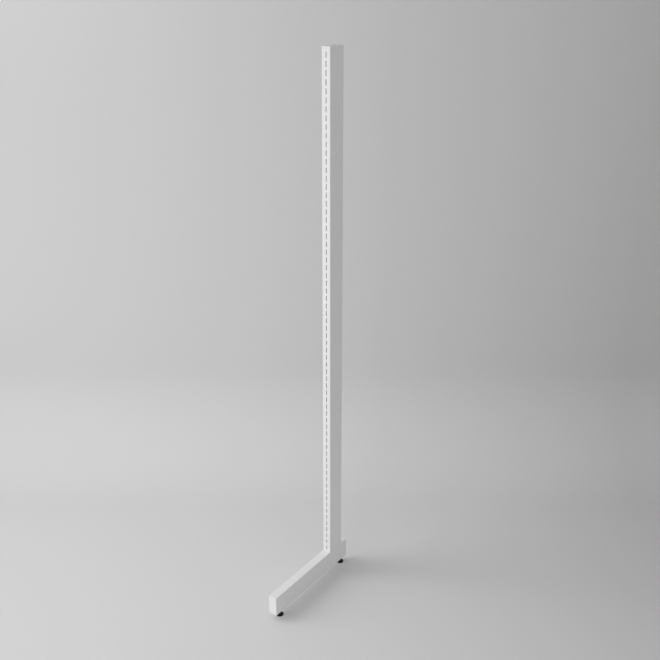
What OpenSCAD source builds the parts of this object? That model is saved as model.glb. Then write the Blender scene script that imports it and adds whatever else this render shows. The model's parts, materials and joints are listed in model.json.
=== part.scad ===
// Slotted upright with an L-shaped foot, the post of a shelf and partition system.
// A rectangular tube post stands on a rectangular tube leg that runs front to back.
// Two screws inside the leg pull the post down onto it, and two levelling feet carry it.
// Millimetres, +Z up. The origin is on the floor at the centre of the footprint,
// -Y is the front, and the slots face -Y.

/* [Slots] */
// Number of slots in the post's front face
slot_count = 67; // [20:1:90]
// Distance from one slot to the next
slot_pitch = 25.4; // [22:0.1:50]
// Length of a slot, end to end
slot_l = 17.5; // [10:0.5:18]
// Width of a slot
slot_w = 2; // [1.8:0.1:5]
// Top of the cap down to the first slot's centre
slot_top_gap = 22.9; // [22:0.1:60]
// Top of the leg up to the last slot's centre
slot_bottom_gap = 15.7; // [15.5:0.1:60]

/* [Post] */
// Width of the post and of the leg, side to side
tube_w = 30; // [25:0.5:50]
// Depth of the post, front to back
post_d = 67.5; // [60:0.5:100]
// Wall of the post
post_wall = 1.5; // [1:0.1:2.5]
// Radius of the tubes' outside edges
edge_r = 1.2; // [0.8:0.1:2]
// Thickness of the plate welded into the post's lower end
foot_plate_t = 6; // [5:0.5:6]

/* [Leg] */
// Height of the leg's tube
leg_h = 69; // [60:0.5:90]
// Length of leg in front of the post
leg_front = 307; // [150:1:500]
// Length of leg behind the post
leg_rear = 32; // [30:0.5:300]
// Wall of the leg
leg_wall = 2; // [1.5:0.1:3]
// Thickness of the plates that close the leg's ends
end_plate_t = 2; // [1.5:0.1:4]

/* [Joint] */
// Distance between the two joint screws
screw_spacing = 40; // [36:1:42]
// Thickness of the clamp plate under the leg's top wall
clamp_plate_t = 6; // [4:0.5:8]
// Radius of the holes that let screw, washer and key in from below
access_r = 9; // [8.5:0.1:10]

/* [Top cap] */
// Height of the cap's head above the tube
cap_head_h = 5.5; // [3:0.5:8]
// Depth of the cap's skirt inside the post
cap_skirt_d = 8; // [4:0.5:8]
// Thickness of the skirt's wall
cap_skirt_t = 1.6; // [1:0.1:3]
// Gap between skirt and tube, which the ribs fill
cap_rib_h = 0.6; // [0.2:0.1:1]

/* [Feet] */
// Floor to the leg's underside
foot_gap = 24; // [20:0.5:35]
// Front foot's axis behind the leg's front end
front_foot_inset = 35.5; // [25:0.5:60]
// Rear foot's axis in front of the leg's rear end
rear_foot_inset = 17.5; // [14:0.5:20]
// Radius of a foot's pad
pad_r = 13; // [11:0.5:14.5]
// Height of a foot's pad
pad_h = 6; // [6:0.5:8]
// Length of a foot's threaded stem
stem_l = 40; // [34:1:50]

/* [Hidden] */
$fn = 64;
drill = 1; // how far a cutter runs past the surface it cuts

// Layout along Y and Z
leg_l = leg_front + post_d + leg_rear;
leg_front_y = -leg_l / 2;
leg_rear_y = leg_l / 2;
post_y = leg_front_y + leg_front + post_d / 2;
front_foot_y = leg_front_y + front_foot_inset;
rear_foot_y = leg_rear_y - rear_foot_inset;
front_screw_y = post_y - screw_spacing / 2;
rear_screw_y = post_y + screw_spacing / 2;
leg_top_z = foot_gap + leg_h;
last_slot_z = leg_top_z + slot_bottom_gap;
cap_top_z = last_slot_z + (slot_count - 1) * slot_pitch + slot_top_gap;
post_top_z = cap_top_z - cap_head_h;
inner_r = 0.3; // inside corners of both tubes

// M8 thread, shared by the joint screws and the levelling feet
m8_r = 4;
m8_clear_r = 4.5;
m8_running_r = 4.06;

// M8 socket-head joint screw and its plain washer
head_r = 6.5;
head_h = 8;
socket_af = 6;
socket_d = 4;
screw_l = 16;
washer_r = 8;
washer_t = 1.6;
washer_z = leg_top_z - leg_wall - clamp_plate_t - washer_t;

// Weld nut, levelling screw and pad, from the top down
nut_af = 14;
nut_h = 6.5;
nut_pilot_r = 5.5;
stem_chamfer = 0.8;
hex_af = 13;
hex_h = 4.5;
hex_gap = 0.5; // pad's top to the hex
neck_r = 3;
button_r = 5;
button_h = 2;
button_z = 1.5;
running_gap = 0.08; // radial, around neck and button
button_lift = 0.15; // end play of the button in its pad
pad_rim_h = 2;
pad_chamfer = 0.4;
pad_top_r = 6.5;

// Rounded rectangle, centred
module rounded_rect(w, d, r) {
    square([w - 2 * r, d], center = true);
    square([w, d - 2 * r], center = true);
    for (x = [-1, 1], y = [-1, 1])
        translate([x * (w / 2 - r), y * (d / 2 - r)]) circle(r);
}

// Cross-section of a rectangular tube
module tube_section(w, d, wall) {
    difference() {
        rounded_rect(w, d, edge_r);
        rounded_rect(w - 2 * wall, d - 2 * wall, inner_r);
    }
}

// Extrudes a section drawn in X and Z from y0 to y1
module along_y(y0, y1) {
    translate([0, y1, 0]) rotate([90, 0, 0]) linear_extrude(y1 - y0) children();
}

// Slot outline, standing upright
module obround(w, l) {
    square([w, l - w], center = true);
    for (end = [-1, 1]) translate([0, end * (l - w) / 2]) circle(w / 2);
}

// Hexagonal prism measured across its flats
module hex_prism(af, h) {
    cylinder(r = af / sqrt(3), h = h, $fn = 6);
}

module post_tube() {
    color("whitesmoke") difference() {
        translate([0, post_y, leg_top_z])
            linear_extrude(post_top_z - leg_top_z) tube_section(tube_w, post_d, post_wall);
        for (i = [0 : slot_count - 1])
            translate([0, 0, last_slot_z + i * slot_pitch])
                along_y(post_y - post_d / 2 - drill, post_y - post_d / 2 + post_wall + drill)
                    obround(slot_w, slot_l);
    }
}

// Push-in cap: head on the tube's end, skirt inside it, crush ribs between the two
module post_top_cap() {
    cavity_w = tube_w - 2 * post_wall;
    cavity_d = post_d - 2 * post_wall;
    skirt_w = cavity_w - 2 * cap_rib_h;
    skirt_d = cavity_d - 2 * cap_rib_h;
    color("white") translate([0, post_y, 0]) {
        translate([0, 0, post_top_z]) linear_extrude(cap_head_h)
            rounded_rect(tube_w, post_d, edge_r);
        translate([0, 0, post_top_z - cap_skirt_d]) linear_extrude(cap_skirt_d) difference() {
            union() {
                rounded_rect(skirt_w, skirt_d, 1);
                for (y = [-0.36, -0.12, 0.12, 0.36])
                    translate([0, y * cavity_d]) square([cavity_w, 1.2], center = true);
                for (x = [-0.25, 0.25])
                    translate([x * cavity_w, 0]) square([1.2, cavity_d], center = true);
            }
            rounded_rect(skirt_w - 2 * cap_skirt_t, skirt_d - 2 * cap_skirt_t, 0.5);
        }
    }
}

module post_foot_plate() {
    color("whitesmoke") difference() {
        translate([0, post_y, leg_top_z]) linear_extrude(foot_plate_t)
            rounded_rect(tube_w - 2 * post_wall, post_d - 2 * post_wall, inner_r);
        for (y = [front_screw_y, rear_screw_y])
            translate([0, y, leg_top_z - drill]) cylinder(r = m8_r, h = foot_plate_t + 2 * drill);
    }
}

module leg_tube() {
    color("whitesmoke") difference() {
        along_y(leg_front_y + end_plate_t, leg_rear_y - end_plate_t)
            translate([0, foot_gap + leg_h / 2]) tube_section(tube_w, leg_h, leg_wall);
        for (y = [front_screw_y, rear_screw_y]) {
            translate([0, y, leg_top_z - leg_wall - drill])
                cylinder(r = m8_clear_r, h = leg_wall + 2 * drill);
            translate([0, y, foot_gap - drill]) cylinder(r = access_r, h = leg_wall + 2 * drill);
        }
        for (y = [front_foot_y, rear_foot_y])
            translate([0, y, foot_gap - drill]) cylinder(r = nut_pilot_r, h = leg_wall + 2 * drill);
    }
}

// Plate that closes one end of the leg, from y0 on
module end_plate(y0) {
    color("whitesmoke") along_y(y0, y0 + end_plate_t)
        translate([0, foot_gap + leg_h / 2]) rounded_rect(tube_w, leg_h, edge_r);
}

module leg_front_plate() {
    end_plate(leg_front_y);
}

module leg_rear_plate() {
    end_plate(leg_rear_y - end_plate_t);
}

module leg_clamp_plate() {
    plate_z = leg_top_z - leg_wall - clamp_plate_t;
    color("whitesmoke") difference() {
        translate([0, post_y, plate_z]) linear_extrude(clamp_plate_t)
            square([tube_w - 2 * leg_wall, post_d - 4], center = true);
        for (y = [front_screw_y, rear_screw_y])
            translate([0, y, plate_z - drill])
                cylinder(r = m8_clear_r, h = clamp_plate_t + 2 * drill);
        // relief along the tube's inside corners
        for (x = [-1, 1])
            translate([x * (tube_w / 2 - leg_wall), post_y, plate_z + clamp_plate_t])
                rotate([0, 45, 0]) cube([1, post_d, 1], center = true);
    }
}

module joint_screw(y) {
    color("silver") translate([0, y, washer_z]) difference() {
        union() {
            cylinder(r = m8_r, h = screw_l);
            translate([0, 0, -head_h]) cylinder(r = head_r, h = head_h);
        }
        translate([0, 0, -head_h - drill]) hex_prism(socket_af, socket_d + drill);
    }
}

module joint_washer(y) {
    color("silver") translate([0, y, washer_z]) difference() {
        cylinder(r = washer_r, h = washer_t);
        translate([0, 0, -drill]) cylinder(r = m8_clear_r, h = washer_t + 2 * drill);
    }
}

module front_joint_screw() {
    joint_screw(front_screw_y);
}

module rear_joint_screw() {
    joint_screw(rear_screw_y);
}

module front_joint_washer() {
    joint_washer(front_screw_y);
}

module rear_joint_washer() {
    joint_washer(rear_screw_y);
}

// Hexagonal weld nut inside the leg, with a pilot that fills the hole in the wall
module foot_nut(y) {
    color("silver") translate([0, y, foot_gap]) difference() {
        union() {
            translate([0, 0, leg_wall]) hex_prism(nut_af, nut_h);
            cylinder(r = nut_pilot_r, h = leg_wall);
        }
        translate([0, 0, -drill]) cylinder(r = m8_running_r, h = leg_wall + nut_h + 2 * drill);
    }
}

module front_foot_nut() {
    foot_nut(front_foot_y);
}

module rear_foot_nut() {
    foot_nut(rear_foot_y);
}

// Levelling screw: button, neck, hex and threaded stem from the bottom up
module foot_stem(y) {
    hex_z = pad_h + hex_gap;
    stem_top_z = hex_z + hex_h + stem_l;
    color("dimgray") translate([0, y, 0]) {
        translate([0, 0, button_z]) cylinder(r = button_r, h = button_h);
        translate([0, 0, button_z]) cylinder(r = neck_r, h = hex_z - button_z);
        translate([0, 0, hex_z]) hex_prism(hex_af, hex_h);
        translate([0, 0, hex_z]) cylinder(r = m8_r, h = hex_h + stem_l - stem_chamfer);
        translate([0, 0, stem_top_z - stem_chamfer])
            cylinder(r1 = m8_r, r2 = m8_r - stem_chamfer, h = stem_chamfer);
    }
}

module front_foot_stem() {
    foot_stem(front_foot_y);
}

module rear_foot_stem() {
    foot_stem(rear_foot_y);
}

// Round pad with a pocket that the stem's button is snapped into
module foot_pad(y) {
    color("black") translate([0, y, 0]) difference() {
        union() {
            cylinder(r1 = pad_r - pad_chamfer, r2 = pad_r, h = pad_chamfer);
            translate([0, 0, pad_chamfer]) cylinder(r = pad_r, h = pad_rim_h - pad_chamfer);
            translate([0, 0, pad_rim_h]) cylinder(r1 = pad_r, r2 = pad_top_r, h = pad_h - pad_rim_h);
        }
        translate([0, 0, button_z])
            cylinder(r = button_r + running_gap, h = button_h + button_lift);
        translate([0, 0, button_z]) cylinder(r = neck_r + running_gap, h = pad_h);
    }
}

module front_foot_pad() {
    foot_pad(front_foot_y);
}

module rear_foot_pad() {
    foot_pad(rear_foot_y);
}

post_tube();
post_top_cap();
post_foot_plate();
leg_tube();
leg_front_plate();
leg_rear_plate();
leg_clamp_plate();
front_joint_screw();
rear_joint_screw();
front_joint_washer();
rear_joint_washer();
front_foot_nut();
rear_foot_nut();
front_foot_stem();
rear_foot_stem();
front_foot_pad();
rear_foot_pad();
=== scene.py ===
"""Looks for the slotted upright: white powder-coated tubes, a white cap and black levelling feet."""
import json
from math import cos, pi, radians, sin

import bmesh
import bpy
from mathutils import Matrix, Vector


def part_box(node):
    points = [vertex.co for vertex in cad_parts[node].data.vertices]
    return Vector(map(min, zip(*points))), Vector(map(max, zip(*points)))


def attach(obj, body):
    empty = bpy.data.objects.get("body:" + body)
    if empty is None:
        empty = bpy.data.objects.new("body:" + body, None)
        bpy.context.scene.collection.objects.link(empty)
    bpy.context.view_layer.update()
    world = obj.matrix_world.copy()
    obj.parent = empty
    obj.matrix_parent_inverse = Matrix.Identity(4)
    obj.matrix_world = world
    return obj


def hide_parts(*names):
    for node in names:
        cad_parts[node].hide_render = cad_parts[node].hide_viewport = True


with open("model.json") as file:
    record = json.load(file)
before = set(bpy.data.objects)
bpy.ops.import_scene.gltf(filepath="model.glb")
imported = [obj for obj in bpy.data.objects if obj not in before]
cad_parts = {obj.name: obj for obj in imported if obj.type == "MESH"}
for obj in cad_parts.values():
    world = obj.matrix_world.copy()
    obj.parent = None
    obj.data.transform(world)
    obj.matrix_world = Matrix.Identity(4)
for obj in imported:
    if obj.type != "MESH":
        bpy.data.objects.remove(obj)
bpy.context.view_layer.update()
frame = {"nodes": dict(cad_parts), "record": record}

MM = 0.001
TAU = 2 * pi


# --- Sizes read from the frame -------------------------------------------------------------

def span(node):
    """Centre and size of a CAD node's box."""
    low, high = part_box(node)
    return (low + high) / 2, high - low


MOUNTS = {m["name"]: m for m in frame["record"]["mounts"]}
HOOKS = MOUNTS["hook_slots_bottom"]["dims"]
SLOT_PITCH = HOOKS["spacing_y_mm"] * MM
SLOT_W = 2 * HOOKS["hole_r_mm"] * MM
SLOT_L = HOOKS["slot_length_mm"] * MM
LOWEST_SLOT_Z = MOUNTS["hook_slots_bottom"]["pos_m"][2] - SLOT_PITCH / 2
HIGHEST_SLOT_Z = MOUNTS["hook_slots_top"]["pos_m"][2] + SLOT_PITCH / 2
SLOT_COUNT = round((HIGHEST_SLOT_Z - LOWEST_SLOT_Z) / SLOT_PITCH) + 1

POST_C, POST_SIZE = span("post_tube")
LEG_C, LEG_SIZE = span("leg_tube")
POST_WALL = (POST_SIZE.x - span("post_foot_plate")[1].x) / 2
LEG_WALL = (LEG_SIZE.x - span("leg_clamp_plate")[1].x) / 2
EDGE_R = 1.2 * MM  # outside edges of both tubes
INNER_R = 0.3 * MM
SLOT_LIP = 0.8 * MM  # roll of the slots' edges
M8_R = 4 * MM
M8_PITCH = 1.25 * MM
M8_CLEAR_R = 4.5 * MM
NUT_PILOT_R = 5.5 * MM


# --- Materials -----------------------------------------------------------------------------

class Nodes:
    """Short calls for building one material's node tree."""

    def __init__(self, name):
        self.material = bpy.data.materials.new(name)
        self.material.use_nodes = True
        self.tree = self.material.node_tree
        self.shader = self.tree.nodes["Principled BSDF"]
        self.place = self.add("ShaderNodeTexCoord").outputs["Object"]

    def add(self, kind, **inputs):
        node = self.tree.nodes.new(kind)
        for key, value in inputs.items():
            self.feed(node, key.replace("_", " "), value)
        return node

    def feed(self, node, key, value):
        socket = node.inputs[int(key)] if key.isdigit() else node.inputs[key]
        if isinstance(value, bpy.types.NodeSocket):
            self.tree.links.new(value, socket)
        else:
            socket.default_value = value

    def noise(self, scale, detail=2.0):
        """Noise between 0 and 1; scale is in features per metre."""
        return self.add("ShaderNodeTexNoise", Vector=self.place, Scale=scale, Detail=detail).outputs["Fac"]

    def ramp(self, value, low, high):
        """value mapped from 0..1 to low..high."""
        return self.add("ShaderNodeMapRange", Value=value, To_Min=low, To_Max=high).outputs["Result"]

    def mix(self, fac, one, two):
        """Colour one where fac is 0, two where it is 1; each is a socket or an (r, g, b)."""
        node = self.tree.nodes.new("ShaderNodeMix")
        node.data_type = "RGBA"
        self.feed(node, "Factor", fac)
        for key, colour in (("A", one), ("B", two)):
            self.feed(node, key, (*colour, 1) if isinstance(colour, tuple) else colour)
        return node.outputs["Result"]

    def math(self, kind, one, two):
        node = self.tree.nodes.new("ShaderNodeMath")
        node.operation = kind
        self.feed(node, "0", one)
        self.feed(node, "1", two)
        return node.outputs["Value"]

    def bump(self, height, distance, strength=1.0, below=None):
        node = self.add("ShaderNodeBump", Height=height, Distance=distance, Strength=strength)
        if below is not None:
            self.tree.links.new(below, node.inputs["Normal"])
        return node.outputs["Normal"]

    def finish(self, **inputs):
        for key, value in inputs.items():
            self.feed(self.shader, key.replace("_", " "), value)
        return self.material


def powder_coat():
    """Satin white powder coat: fine orange peel over a slower waviness."""
    m = Nodes("white_powder_coat")
    peel = m.bump(m.noise(1400, 3), 0.05 * MM, 0.5)
    waves = m.bump(m.noise(60, 1), 0.2 * MM, 0.1, peel)
    tone = m.mix(m.noise(9, 3), (0.80, 0.80, 0.795), (0.83, 0.83, 0.826))
    return m.finish(Base_Color=tone, Roughness=m.ramp(m.noise(220), 0.42, 0.52), Normal=waves,
                    Specular_IOR_Level=0.35)


def white_plastic():
    """White moulded plastic with spark-eroded grain, and painted shade that darkens it where it faces up."""
    m = Nodes("white_plastic")
    grain = m.bump(m.noise(2600, 4), 0.04 * MM, 0.6)
    unshaded_tone = m.mix(m.noise(70, 3), (0.81, 0.81, 0.805), (0.84, 0.84, 0.835))
    facing = m.add("ShaderNodeSeparateXYZ", Vector=m.add("ShaderNodeNewGeometry").outputs["Normal"])
    upward = m.math("MAXIMUM", facing.outputs["Z"], 0.0)
    # painted shade: faces that turn upward are painted darker, towards grey, standing in for less light
    # falling on the cap's top
    painted_top_shade = m.math("MULTIPLY", upward, m.ramp(m.noise(120, 4), 0.75, 1.0))
    tone = m.mix(painted_top_shade, unshaded_tone, (0.58, 0.58, 0.575))
    return m.finish(Base_Color=tone, Roughness=m.ramp(m.noise(500), 0.56, 0.68), Normal=grain,
                    Specular_IOR_Level=0.3)


def black_plastic():
    """Black moulded plastic with a fine grain, a little scuffed."""
    m = Nodes("black_plastic")
    grain = m.bump(m.noise(2200, 4), 0.04 * MM, 0.6)
    tone = m.mix(m.noise(260, 4), (0.006, 0.006, 0.0065), (0.011, 0.011, 0.0115))
    return m.finish(Base_Color=tone, Roughness=m.ramp(m.noise(400, 4), 0.42, 0.62), Normal=grain,
                    Specular_IOR_Level=0.3)


def blackened_steel():
    """Black oxide on steel: dark, slightly brown in places, with a dull metal sheen."""
    m = Nodes("blackened_steel")
    tone = m.mix(m.noise(420, 4), (0.030, 0.030, 0.032), (0.055, 0.052, 0.049))
    return m.finish(Base_Color=tone, Metallic=0.85, Roughness=m.ramp(m.noise(900, 3), 0.34, 0.5),
                    Normal=m.bump(m.noise(3500, 2), 0.02 * MM, 0.5))


def zinc_plate():
    """Bright zinc plating with faint spangle and handling marks."""
    m = Nodes("zinc_plated_steel")
    tone = m.mix(m.noise(350, 3), (0.55, 0.56, 0.58), (0.68, 0.69, 0.71))
    return m.finish(Base_Color=tone, Metallic=1.0, Roughness=m.ramp(m.noise(700, 4), 0.24, 0.38),
                    Normal=m.bump(m.noise(2800, 2), 0.02 * MM, 0.4))


FINISHES = {
    "white_powder_coat": powder_coat(),
    "white_plastic": white_plastic(),
    "black_plastic": black_plastic(),
    "blackened_steel": blackened_steel(),
    "zinc_plated_steel": zinc_plate(),
}


# --- Mesh tools ----------------------------------------------------------------------------

def piece(name, bm, slot, body, *nodes):
    """Turns a bmesh into a finished piece that stands for the given CAD nodes."""
    bmesh.ops.recalc_face_normals(bm, faces=bm.faces)
    mesh = bpy.data.meshes.new(name)
    bm.to_mesh(mesh)
    bm.free()
    for face in mesh.polygons:
        face.use_smooth = True
    mesh.set_sharp_from_angle(angle=radians(50))
    obj = bpy.data.objects.new(name, mesh)
    bpy.context.scene.collection.objects.link(obj)
    even = obj.modifiers.new("even_normals", "WEIGHTED_NORMAL")
    even.keep_sharp = True
    mesh.materials.append(FINISHES[slot])
    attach(obj, body)
    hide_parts(*nodes)
    return obj


def bridge(bm, one, two, closed=True):
    """Quads between two rows of vertices of the same length."""
    last = len(one) if closed else len(one) - 1
    for i in range(last):
        j = (i + 1) % len(one)
        corners = [one[i], one[j], two[j], two[i]]
        unique = list(dict.fromkeys(corners))
        if len(unique) > 2:
            bm.faces.new(unique)


def arc(cx, cz, r, start, end, steps=6):
    """Points of an arc in the (r, z) plane; angles in degrees."""
    angles = [radians(start + (end - start) * k / steps) for k in range(steps + 1)]
    return [(cx + r * cos(a), cz + r * sin(a)) for a in angles]


def obround(width, length, grow, steps=6):
    """(across, along) points of a slot or round hole outline, from its lowest point round by the left."""
    r = width / 2 + grow
    reach = (length - width) / 2
    quarter = [pi / 2 * k / steps for k in range(steps + 1)]
    low_left = [(-r * sin(t), -reach - r * cos(t)) for t in quarter]
    high_left = [(-r * cos(t), reach + r * sin(t)) for t in quarter]
    high_right = [(r * sin(t), reach + r * cos(t)) for t in quarter[1:]]
    low_right = [(r * cos(t), -reach - r * sin(t)) for t in quarter[:-1]]
    if length <= width:  # a round hole has no straight sides
        high_left, low_right = high_left[1:], low_right[1:]
    return low_left + high_left + high_right + low_right


def tube(place, size_a, size_b, wall, rows, low=(), high=()):
    """A rectangular tube with punched holes in its low and high walls.

    place(a, b, v) gives the point for a place (a, b) in the section at v along the tube. Holes are
    (v, width, length, roll) and each lies between two neighbouring rows.
    """
    bm = bmesh.new()
    steps = 6  # in each rounded corner and rolled lip
    burr = 0.12 * MM  # break of a hole's inside edge

    def contour(inset, r):
        """Right half of the section, from the low wall's flat to the high wall's."""
        a, b = size_a / 2 - inset, size_b / 2 - inset
        return arc(a - r, r - b, r, -90, 0, steps) + arc(a - r, b - r, r, 0, 90, steps)

    def ring(v, inset, r):
        right = contour(inset, r)
        edge = size_b / 2 - inset
        return {
            "right": [bm.verts.new(place(a, b, v)) for a, b in right],
            "left": [bm.verts.new(place(-a, b, v)) for a, b in right],
            "low": bm.verts.new(place(0, -edge, v)),
            "high": bm.verts.new(place(0, edge, v)),
        }

    outer = [ring(v, 0, EDGE_R) for v in rows]
    inner = [ring(v, wall, INNER_R) for v in rows]

    def flat(layer, i, side, hole):
        """One cell of a low or high wall, whole or round a hole."""
        here, there = layer[i], layer[i + 1]
        end = 0 if side == "low" else -1
        for hand in ("left", "right"):
            corner = [here[hand][end], here[side], there[side], there[hand][end]]
            if hole is None:
                bm.faces.new(corner)
                continue
            half = len(hole) // 2
            run = hole[: half + 1] if hand == "left" else [hole[0]] + hole[:half - 1:-1]
            bm.faces.new([corner[0], corner[1], *run, corner[2], corner[3]])

    for i in range(len(rows) - 1):
        for layer in (outer, inner):
            for hand in ("left", "right"):
                bridge(bm, layer[i][hand], layer[i + 1][hand], closed=False)
        for side, holes in (("low", low), ("high", high)):
            found = [h for h in holes if rows[i] < h[0] < rows[i + 1]]
            if not found:
                flat(outer, i, side, None)
                flat(inner, i, side, None)
                continue
            v, width, length, roll = found[0]
            sign = -1 if side == "low" else 1
            edge = size_b / 2
            # rolled-in lip, straight wall, small break on the inside
            lip = [(roll * (1 - sin(t)), roll * (1 - cos(t))) for t in
                   (k * pi / 2 / steps for k in range(steps + 1))]
            lip += [(0, wall - burr), (burr, wall)]
            rings = [
                [bm.verts.new(place(a, sign * (edge - depth), v + along))
                 for a, along in obround(width, length, grow)]
                for grow, depth in lip
            ]
            for one, two in zip(rings, rings[1:]):
                bridge(bm, one, two)
            flat(outer, i, side, rings[0])
            flat(inner, i, side, rings[-1])
    for i in (0, -1):
        for hand in ("left", "right"):
            bridge(bm, outer[i][hand], inner[i][hand], closed=False)
            for side, end in (("low", 0), ("high", -1)):
                bm.faces.new([outer[i][side], outer[i][hand][end], inner[i][hand][end], inner[i][side]])
    return bm


def outline(size_a, size_b, r, inset=0.0, steps=5):
    """Closed rounded rectangle about the origin."""
    a, b = size_a / 2 - inset, size_b / 2 - inset
    k = max(r - inset, 0.05 * MM)
    return (arc(a - k, k - b, k, -90, 0, steps) + arc(a - k, b - k, k, 0, 90, steps)
            + arc(k - a, b - k, k, 90, 180, steps) + arc(k - a, k - b, k, 180, 270, steps))


def slab(bm, place, size_a, size_b, r, levels):
    """A plate with rounded corners: levels are (inset, v), from one flat face to the other."""
    rings = [[bm.verts.new(place(a, b, v)) for a, b in outline(size_a, size_b, r, inset)]
             for inset, v in levels]
    for one, two in zip(rings, rings[1:]):
        bridge(bm, one, two)
    bm.faces.new(rings[0])
    bm.faces.new(rings[-1])


def soft_levels(v0, v1, soft0, soft1, steps=4):
    """Levels for a slab from v0 to v1 whose edges are rounded by soft0 and soft1."""
    sign = 1 if v1 > v0 else -1
    turn = [k * pi / 2 / steps for k in range(steps + 1)]
    first = [(soft0 * (1 - sin(t)), v0 + sign * soft0 * (1 - cos(t))) for t in turn]
    last = [(soft1 * (1 - cos(t)), v1 - sign * soft1 * (1 - sin(t))) for t in turn]
    return first + last


def wall_ring(bm, place, size_a, size_b, r, thick, v0, v1):
    """An upright rectangular ring, such as a cap's skirt."""
    outer = outline(size_a, size_b, r)
    inner = outline(size_a - 2 * thick, size_b - 2 * thick, max(r - thick, 0.2 * MM))
    loops = [(outer, v0), (outer, v1), (inner, v1), (inner, v0)]
    rings = [[bm.verts.new(place(a, b, v)) for a, b in points] for points, v in loops]
    for i in range(4):
        bridge(bm, rings[i], rings[(i + 1) % 4])


def block(bm, corners):
    """A closed box from its eight corners: four below, then the four above them."""
    v = [bm.verts.new(c) for c in corners]
    for face in ((0, 1, 2, 3), (4, 5, 6, 7), (0, 1, 5, 4), (1, 2, 6, 5), (2, 3, 7, 6), (3, 0, 4, 7)):
        bm.faces.new([v[i] for i in face])


def hexagon(angle):
    """How far a hexagon reaches at this angle, for an apothem of 1."""
    return 1 / cos((angle + pi / 6) % (pi / 3) - pi / 6)


def hex_row(limit=2.0):
    """Row shape of a hexagonal prism, with its corners cut back to limit times the apothem."""
    return lambda r, z, angle: r * min(hexagon(angle), limit)


def knurl_row(ribs=44, depth=0.03):
    """Row shape of a straight-knurled head."""
    return lambda r, z, angle: r * (1 - depth * abs(2 * ((angle * ribs / TAU) % 1) - 1))


def thread_row(pitch, depth):
    """Row shape of a right-hand V thread with flats at its crest and root."""
    crest, root = 1 / 8, 1 / 6  # widths of the flats, as shares of the pitch

    def shape(r, z, angle):
        u = (z / pitch - angle / TAU) % 1
        cut = (abs(2 * u - 1) - crest) / (1 - crest - root)
        return r - depth * min(max(cut, 0), 1)
    return shape


def turned(bm, centre, profile, segments=64):
    """A turned part: profile rows are (r, z) or (r, z, shape), and r = 0 closes it on the axis."""
    rows = []
    for r, z, *shape in profile:
        if r <= 0:
            rows.append(bm.verts.new(centre + Vector((0, 0, z))))
            continue
        row = []
        for i in range(segments):
            angle = TAU * i / segments
            k = shape[0](r, z, angle) if shape else r
            row.append(bm.verts.new(centre + Vector((k * cos(angle), k * sin(angle), z))))
        rows.append(row)
    for one, two in zip(rows, rows[1:]):
        if isinstance(one, list) and isinstance(two, list):
            bridge(bm, one, two)
            continue
        tip, ring = (one, two) if isinstance(two, list) else (two, one)
        for i in range(segments):
            bm.faces.new([tip, ring[i], ring[(i + 1) % segments]])
    if isinstance(rows[0], list) and isinstance(rows[-1], list):
        bridge(bm, rows[-1], rows[0])


def threaded(r, z0, z1, pitch, lead_in):
    """Profile rows of a thread from z0 to z1, run out to nothing over lead_in at its lower end."""
    depth = 0.61 * pitch
    per_turn = 10  # rows in one pitch
    count = round((z1 - z0) / pitch * per_turn)
    rows = []
    for k in range(count + 1):
        z = z0 + (z1 - z0) * k / count
        fade = min(1.0, (z - z0) / lead_in + 0.02)
        rows.append((r, z, thread_row(pitch, depth * fade)))
    return rows


# --- Post ----------------------------------------------------------------------------------

def build_post_tube():
    low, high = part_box("post_tube")
    slots = [LOWEST_SLOT_Z + i * SLOT_PITCH for i in range(SLOT_COUNT)]
    rows = [low.z] + [z + SLOT_PITCH / 2 for z in slots[:-1]] + [high.z]
    bm = tube(lambda a, b, v: Vector((POST_C.x + a, POST_C.y + b, v)),
              POST_SIZE.x, POST_SIZE.y, POST_WALL, rows,
              low=[(z, SLOT_W, SLOT_L, SLOT_LIP) for z in slots])
    return piece("post_tube_shell", bm, "white_powder_coat", "frame", "post_tube")


def build_top_cap():
    """Moulded push-in cap: softly rounded head over a thin rebate, skirt and tapered crush ribs."""
    low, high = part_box("post_top_cap")
    tube_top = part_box("post_tube")[1].z
    cavity_a, cavity_b = POST_SIZE.x - 2 * POST_WALL, POST_SIZE.y - 2 * POST_WALL
    rib_h, rib_half_t, skirt_t = 0.6 * MM, 0.6 * MM, 1.6 * MM
    rebate, seam = 0.9 * MM, 0.45 * MM
    bm = bmesh.new()

    def place(a, b, v):
        return Vector((POST_C.x + a, POST_C.y + b, v))

    slab(bm, place, POST_SIZE.x, POST_SIZE.y, EDGE_R,
         [(rebate, tube_top), (rebate, tube_top + seam)]
         + soft_levels(tube_top + seam, high.z, 0.25 * MM, 0.6 * MM))
    wall_ring(bm, place, cavity_a - 2 * rib_h, cavity_b - 2 * rib_h, 1 * MM, skirt_t, low.z, tube_top)
    for share in (-0.36, -0.12, 0.12, 0.36):
        for side in (-1, 1):
            rib(bm, place, side, share * cavity_b, cavity_a / 2, rib_h, rib_half_t, low.z, tube_top, False)
    for share in (-0.25, 0.25):
        for side in (-1, 1):
            rib(bm, place, side, share * cavity_a, cavity_b / 2, rib_h, rib_half_t, low.z, tube_top, True)
    return piece("post_top_cap_moulding", bm, "white_plastic", "frame", "post_top_cap")


def rib(bm, place, side, along, reach, height, half_t, low, top, on_end):
    """A crush rib on a cap's skirt that tapers to nothing at its lower end."""
    root = reach - height - 0.3 * MM  # inside the skirt

    def point(out, t, v):
        a, b = side * out, along + t
        return place(b, a, v) if on_end else place(a, b, v)

    block(bm, [point(root, -half_t, low), point(reach - height, -half_t, low),
               point(reach - height, half_t, low), point(root, half_t, low),
               point(root, -half_t, top), point(reach, -half_t, top),
               point(reach, half_t, top), point(root, half_t, top)])


# --- Leg -----------------------------------------------------------------------------------

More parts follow.
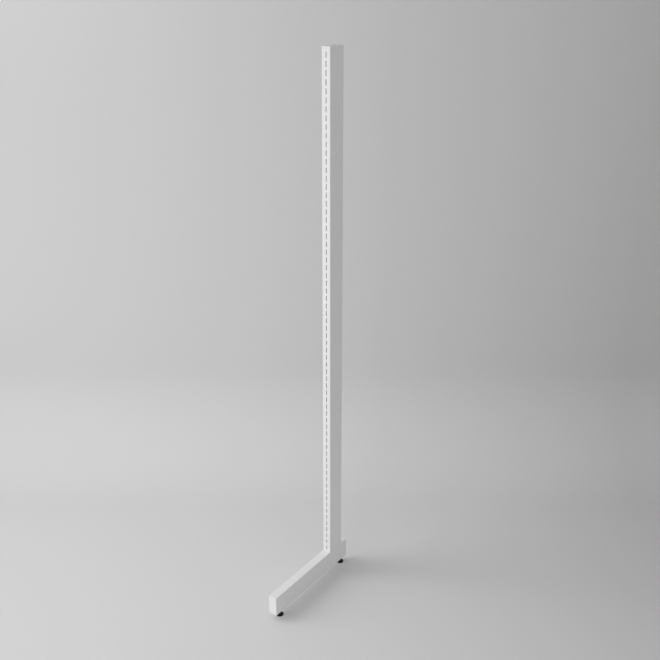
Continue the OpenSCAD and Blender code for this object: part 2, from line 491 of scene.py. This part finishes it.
def build_leg_tube():
    low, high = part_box("leg_tube")
    front_foot, rear_foot = span("front_foot_nut")[0].y, span("rear_foot_nut")[0].y
    screws = [span(node)[0].y for node in ("front_joint_screw", "rear_joint_screw")]
    pilot_d, access_d, clear_d = 2 * NUT_PILOT_R, 18 * MM, 2 * M8_CLEAR_R
    between = [(a + b) / 2 for a, b in zip([front_foot, *screws], [*screws, rear_foot])]
    bm = tube(lambda a, b, v: Vector((LEG_C.x + a, v, LEG_C.z + b)),
              LEG_SIZE.x, LEG_SIZE.z, LEG_WALL, [low.y, *between, high.y],
              low=[(front_foot, pilot_d, pilot_d, 0.1 * MM), (rear_foot, pilot_d, pilot_d, 0.1 * MM)]
              + [(y, access_d, access_d, 0.4 * MM) for y in screws],
              high=[(y, clear_d, clear_d, 0.2 * MM) for y in screws])
    return piece("leg_tube_shell", bm, "white_powder_coat", "frame", "leg_tube")


def build_end_plate(node, outward):
    """Plate welded on the leg's end and ground flush, with its outer edges eased."""
    low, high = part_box(node)
    inner, outer = (high.y, low.y) if outward < 0 else (low.y, high.y)
    centre, size = span(node)
    bm = bmesh.new()
    slab(bm, lambda a, b, v: Vector((centre.x + a, v, centre.z + b)), size.x, size.z, EDGE_R,
         soft_levels(inner, outer, 0.05 * MM, 0.6 * MM))
    return piece(node + "_ground", bm, "white_powder_coat", "frame", node)


def build_foot_nut(node):
    """Hexagonal weld nut with a chamfered top, and its pilot in the leg's wall."""
    low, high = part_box(node)
    centre, size = span(node)
    apothem = size.y / 2
    bore_r = M8_R + 0.06 * MM
    seat, top, bottom = LEG_WALL, high.z - low.z, 0.0
    chamfer = [(0.0, 1.02), (0.3, 1.06), (0.6, 1.1), (1.0, 1.16)]
    profile = [(bore_r, bottom), (NUT_PILOT_R, bottom), (NUT_PILOT_R, seat), (apothem, seat, hex_row())]
    profile += [(apothem, top - depth * MM, hex_row(limit)) for depth, limit in reversed(chamfer)]
    profile += [(apothem * 0.98, top), (bore_r + 0.6 * MM, top), (bore_r, top - 0.6 * MM)]
    bm = bmesh.new()
    turned(bm, Vector((centre.x, centre.y, low.z)), profile, segments=72)
    return piece(node + "_hex", bm, "zinc_plated_steel", "frame", node)


# --- Joint between post and leg ------------------------------------------------------------

def build_joint_screw(node):
    """M8 socket-head screw, head down."""
    low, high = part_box(node)
    centre, size = span(node)
    head_r, head_h = size.x / 2, 8 * MM
    socket, socket_d = 3 * MM, 4 * MM
    knurl = knurl_row()
    profile = [(0, socket_d - 0.4 * MM), (socket * 0.8, socket_d, hex_row()),
               (socket, socket_d, hex_row()), (socket, 0.3 * MM, hex_row()),
               (socket * 1.17, 0.0), (head_r - 0.8 * MM, 0.0), (head_r - 0.3 * MM, 0.3 * MM),
               (head_r * 0.97, 0.8 * MM), (head_r, 1.0 * MM, knurl), (head_r, head_h - 0.6 * MM, knurl),
               (head_r * 0.97, head_h - 0.3 * MM), (head_r - 0.4 * MM, head_h), (M8_R + 0.3 * MM, head_h)]
    shank_top = high.z - low.z
    profile += threaded(M8_R, head_h + 0.4 * MM, shank_top - 0.7 * MM, M8_PITCH, 2 * MM)
    profile += [(M8_R - 0.85 * MM, shank_top), (0, shank_top)]
    bm = bmesh.new()
    turned(bm, Vector((centre.x, centre.y, low.z)), profile, segments=88)
    return piece(node + "_turned", bm, "zinc_plated_steel", "frame", node)


def build_washer(node):
    """Stamped washer, one edge rounded by the punch."""
    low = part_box(node)[0]
    centre, size = span(node)
    r, t, hole = size.x / 2, size.z, M8_CLEAR_R
    lip = 0.25 * MM
    profile = [(hole, t), (hole, lip)] + arc(hole + lip, lip, lip, 180, 270, 4)[1:]
    profile += arc(r - lip, lip, lip, -90, 0, 4) + [(r, t - 0.1 * MM), (r - 0.1 * MM, t)]
    bm = bmesh.new()
    turned(bm, Vector((centre.x, centre.y, low.z)), profile)
    return piece(node + "_stamped", bm, "zinc_plated_steel", "frame", node)


def soften(node, slot):
    """A hidden CAD plate that keeps its shape, with its edges broken."""
    obj = frame["nodes"][node]
    obj.data.materials.clear()
    obj.data.materials.append(FINISHES[slot])
    weld = obj.modifiers.new("weld", "WELD")
    weld.merge_threshold = 0.01 * MM
    edges = obj.modifiers.new("edges", "BEVEL")
    edges.width = 0.3 * MM
    edges.segments = 2
    edges.limit_method = "ANGLE"


# --- Levelling feet ------------------------------------------------------------------------

BUTTON_R = 5 * MM
BUTTON_H = 2 * MM
NECK_R = 3 * MM
HEX_H = 4.5 * MM
PLAY = 0.08 * MM


def build_stem(end):
    """Levelling screw: button, neck, hexagon and a right-hand M8 thread."""
    node = end + "_foot_stem"
    low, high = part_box(node)
    centre, size = span(node)
    apothem = size.y / 2
    hex_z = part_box(end + "_foot_pad")[1].z - low.z + 0.5 * MM
    top = high.z - low.z
    ease = 0.25 * MM
    chamfer = [(0.0, 1.02), (0.2, 1.06), (0.4, 1.1), (0.7, 1.16)]
    profile = [(0, 0.0), (BUTTON_R - ease, 0.0)] + arc(BUTTON_R - ease, BUTTON_H - ease, ease, 0, 90, 4)
    profile.insert(2, (BUTTON_R, ease))
    profile += [(NECK_R + 0.3 * MM, BUTTON_H), (NECK_R, BUTTON_H + 0.3 * MM), (NECK_R, hex_z)]
    profile += [(apothem * 0.97, hex_z)]
    profile += [(apothem, hex_z + d * MM, hex_row(limit)) for d, limit in chamfer]
    hex_top = hex_z + HEX_H
    profile += [(apothem, hex_top - d * MM, hex_row(limit)) for d, limit in reversed(chamfer)]
    profile += [(apothem * 0.97, hex_top), (M8_R + 0.3 * MM, hex_top)]
    profile += threaded(M8_R, hex_top + 0.3 * MM, top - 0.8 * MM, M8_PITCH, 2 * MM)
    profile += [(M8_R - 0.9 * MM, top), (0, top)]
    bm = bmesh.new()
    turned(bm, Vector((centre.x, centre.y, low.z)), profile, segments=72)
    return piece(end + "_foot_stem_turned", bm, "blackened_steel", end + "_stem", node)


def build_pad(end):
    """Moulded pad: eased rim, cone, collar and the pocket for the stem's button."""
    node = end + "_foot_pad"
    low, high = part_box(node)
    centre, size = span(node)
    r, top = size.x / 2, high.z - low.z
    pocket_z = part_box(end + "_foot_stem")[0].z - low.z
    pocket_top = pocket_z + BUTTON_H + 0.15 * MM
    rim_h, collar_r, ease = 2 * MM, 6.5 * MM, 0.5 * MM
    profile = [(0, 0.3 * MM), (r * 0.55, 0.3 * MM), (r * 0.6, 0.0), (r - 0.4 * MM, 0.0), (r, 0.4 * MM)]
    profile += arc(r - ease, rim_h - ease, ease, 0, 60, 5)
    profile += [(r - 1.0 * MM, rim_h + 0.1 * MM), (collar_r + 1.2 * MM, top - 1.1 * MM)]
    profile += arc(collar_r - 0.4 * MM, top - 0.4 * MM, 0.4 * MM, 0, 90, 4)
    profile += [(NECK_R + PLAY + 0.3 * MM, top), (NECK_R + PLAY, top - 0.3 * MM), (NECK_R + PLAY, pocket_top),
                (BUTTON_R + PLAY, pocket_top), (BUTTON_R + PLAY, pocket_z), (0, pocket_z)]
    bm = bmesh.new()
    turned(bm, Vector((centre.x, centre.y, low.z)), profile, segments=96)
    return piece(end + "_foot_pad_moulding", bm, "black_plastic", end + "_pad", node)


build_post_tube()
build_top_cap()
build_leg_tube()
build_end_plate("leg_front_plate", -1)
build_end_plate("leg_rear_plate", 1)
soften("post_foot_plate", "white_powder_coat")
soften("leg_clamp_plate", "white_powder_coat")
for end in ("front", "rear"):
    build_joint_screw(end + "_joint_screw")
    build_washer(end + "_joint_washer")
    build_foot_nut(end + "_foot_nut")
    build_stem(end)
    build_pad(end)


# --- Studio --------------------------------------------------------------------------------

HEADING = radians(35.394)  # camera's heading, from +Y towards -X
PITCH = radians(22.487)  # how far the camera looks down
CAMERA_PLACE = Vector((1.5496, -2.1948, 2.0423))  # from the post's foot
LENS_MM = 49.236  # on a sensor 36 mm wide
AMBIENT = 0.548
VIEW = Vector((-sin(HEADING), cos(HEADING), 0))
SIDE = Vector((cos(HEADING), sin(HEADING), 0))
POST_FOOT = Vector((POST_C.x, POST_C.y, 0))


def studio_point(side, view, z):
    """A place by its distances right of the post, behind it and above the floor, as the camera sees it."""
    return POST_FOOT + SIDE * side + VIEW * view + Vector((0, 0, z))


def build_backdrop():
    """Floor that curves up into a wall behind the object, square to the camera.

    Only a camera can see through it: from behind the wall, from below the floor, and far from the
    object, where it fades into the plain studio light. So the object can be viewed from all round.
    """
    m = Nodes("studio_sweep")
    half_width, near, far, bend, height = 8.0, -6.0, 0.43, 0.40, 5.0
    crest, reach = 0.15, 1.4  # painted light: the paper is painted brightest along a line left of the post, and painted darker with distance from it over this reach
    fade_from, fade_to = 1.75, 2.4  # distance from the post over which the paper fades out of sight
    ground = m.add("ShaderNodeSeparateXYZ", Vector=m.place).outputs
    across, along = ground["X"], ground["Y"]
    # painted light falloff: the paper's colour runs from a lit grey at that line to a dimmer grey away from
    # it, standing in for the falloff of the lights on the left
    off = m.math("DIVIDE", m.math("ADD", across, crest), reach)
    painted_lit_tone, painted_dim_tone = (0.689, 0.689, 0.689), (0.569, 0.569, 0.569)
    tone = m.mix(m.math("MULTIPLY", off, off), painted_lit_tone, painted_dim_tone)
    grain = m.bump(m.noise(300, 3), 0.1 * MM, 0.2)
    squares = m.math("ADD", m.math("MULTIPLY", across, across), m.math("MULTIPLY", along, along))
    far_off = m.add("ShaderNodeMapRange", Value=m.math("POWER", squares, 0.5),
                    From_Min=fade_from, From_Max=fade_to).outputs["Result"]
    from_behind = m.add("ShaderNodeNewGeometry").outputs["Backfacing"]
    by_camera = m.add("ShaderNodeLightPath").outputs["Is Camera Ray"]
    unseen = m.math("MULTIPLY", m.math("MAXIMUM", far_off, from_behind), by_camera)
    m.finish(Base_Color=tone, Roughness=0.9, Specular_IOR_Level=0.1, Normal=grain,
             Alpha=m.math("SUBTRACT", 1.0, unseen))
    steps = 32
    turn = [pi / 2 * k / steps for k in range(1, steps + 1)]
    profile = [(near, 0.0), (far, 0.0)]
    profile += [(far + bend * sin(t), bend * (1 - cos(t))) for t in turn]
    profile.append((far + bend, height))
    bm = bmesh.new()
    rows = [[bm.verts.new((w, d, z)) for w in (-half_width, half_width)] for d, z in profile]
    for one, two in zip(rows, rows[1:]):
        bridge(bm, one, two, closed=False)
    bm.normal_update()
    if bm.faces[:][0].normal.z < 0:
        bmesh.ops.reverse_faces(bm, faces=bm.faces[:])
    mesh = bpy.data.meshes.new("studio_sweep")
    bm.to_mesh(mesh)
    bm.free()
    for face in mesh.polygons:
        face.use_smooth = True
    mesh.materials.append(m.material)
    sweep = bpy.data.objects.new("studio_sweep", mesh)
    sweep.location = POST_FOOT
    sweep.rotation_euler = (0, 0, HEADING)
    bpy.context.scene.collection.objects.link(sweep)


def softbox(name, place, size, power):
    """Square area light aimed at the lower part of the post; size in metres, power in watts."""
    data = bpy.data.lights.new(name, "AREA")
    data.shape = "SQUARE"
    data.size = size
    data.energy = power
    lamp = bpy.data.objects.new(name, data)
    lamp.location = place
    aim = studio_point(0, 0, 0.6)
    lamp.rotation_euler = (aim - place).to_track_quat("-Z", "Y").to_euler()
    bpy.context.scene.collection.objects.link(lamp)


def distant_key(strength, spread, bearing, height):
    """Broad, distant key light from the left: bearing is from -X towards -Y, height above the floor."""
    data = bpy.data.lights.new("key", "SUN")
    data.energy = strength
    data.angle = spread
    lamp = bpy.data.objects.new("key", data)
    towards = Vector((cos(bearing) * cos(height), sin(bearing) * cos(height), -sin(height)))
    lamp.rotation_euler = towards.to_track_quat("-Z", "Y").to_euler()
    bpy.context.scene.collection.objects.link(lamp)


def light_studio():
    distant_key(0.515, radians(32), radians(30), radians(50))
    softbox("left_low", studio_point(-2.6, -0.4, 1.0), 1.8, 22.4)
    softbox("left_front", studio_point(-1.6, -2.6, 1.2), 2.0, 11.7)
    softbox("left_back", studio_point(-2.6, 0.6, 2.0), 2.0, 10.2)
    softbox("left_high", studio_point(-1.2, 0.5, 2.5), 1.2, 4.6)
    world = bpy.data.worlds.new("studio")
    world.use_nodes = True
    background = world.node_tree.nodes["Background"]
    background.inputs["Color"].default_value = (1, 1, 1, 1)
    background.inputs["Strength"].default_value = AMBIENT
    bpy.context.scene.world = world


def place_camera():
    data = bpy.data.cameras.new("camera")
    data.sensor_width = 36
    data.lens = LENS_MM
    data.clip_end = 100
    camera = bpy.data.objects.new("camera", data)
    camera.location = POST_FOOT + CAMERA_PLACE
    camera.rotation_euler = (pi / 2 - PITCH, 0, HEADING)
    bpy.context.scene.collection.objects.link(camera)
    bpy.context.scene.camera = camera


build_backdrop()
light_studio()
place_camera()
bpy.context.scene.view_settings.view_transform = "Standard"
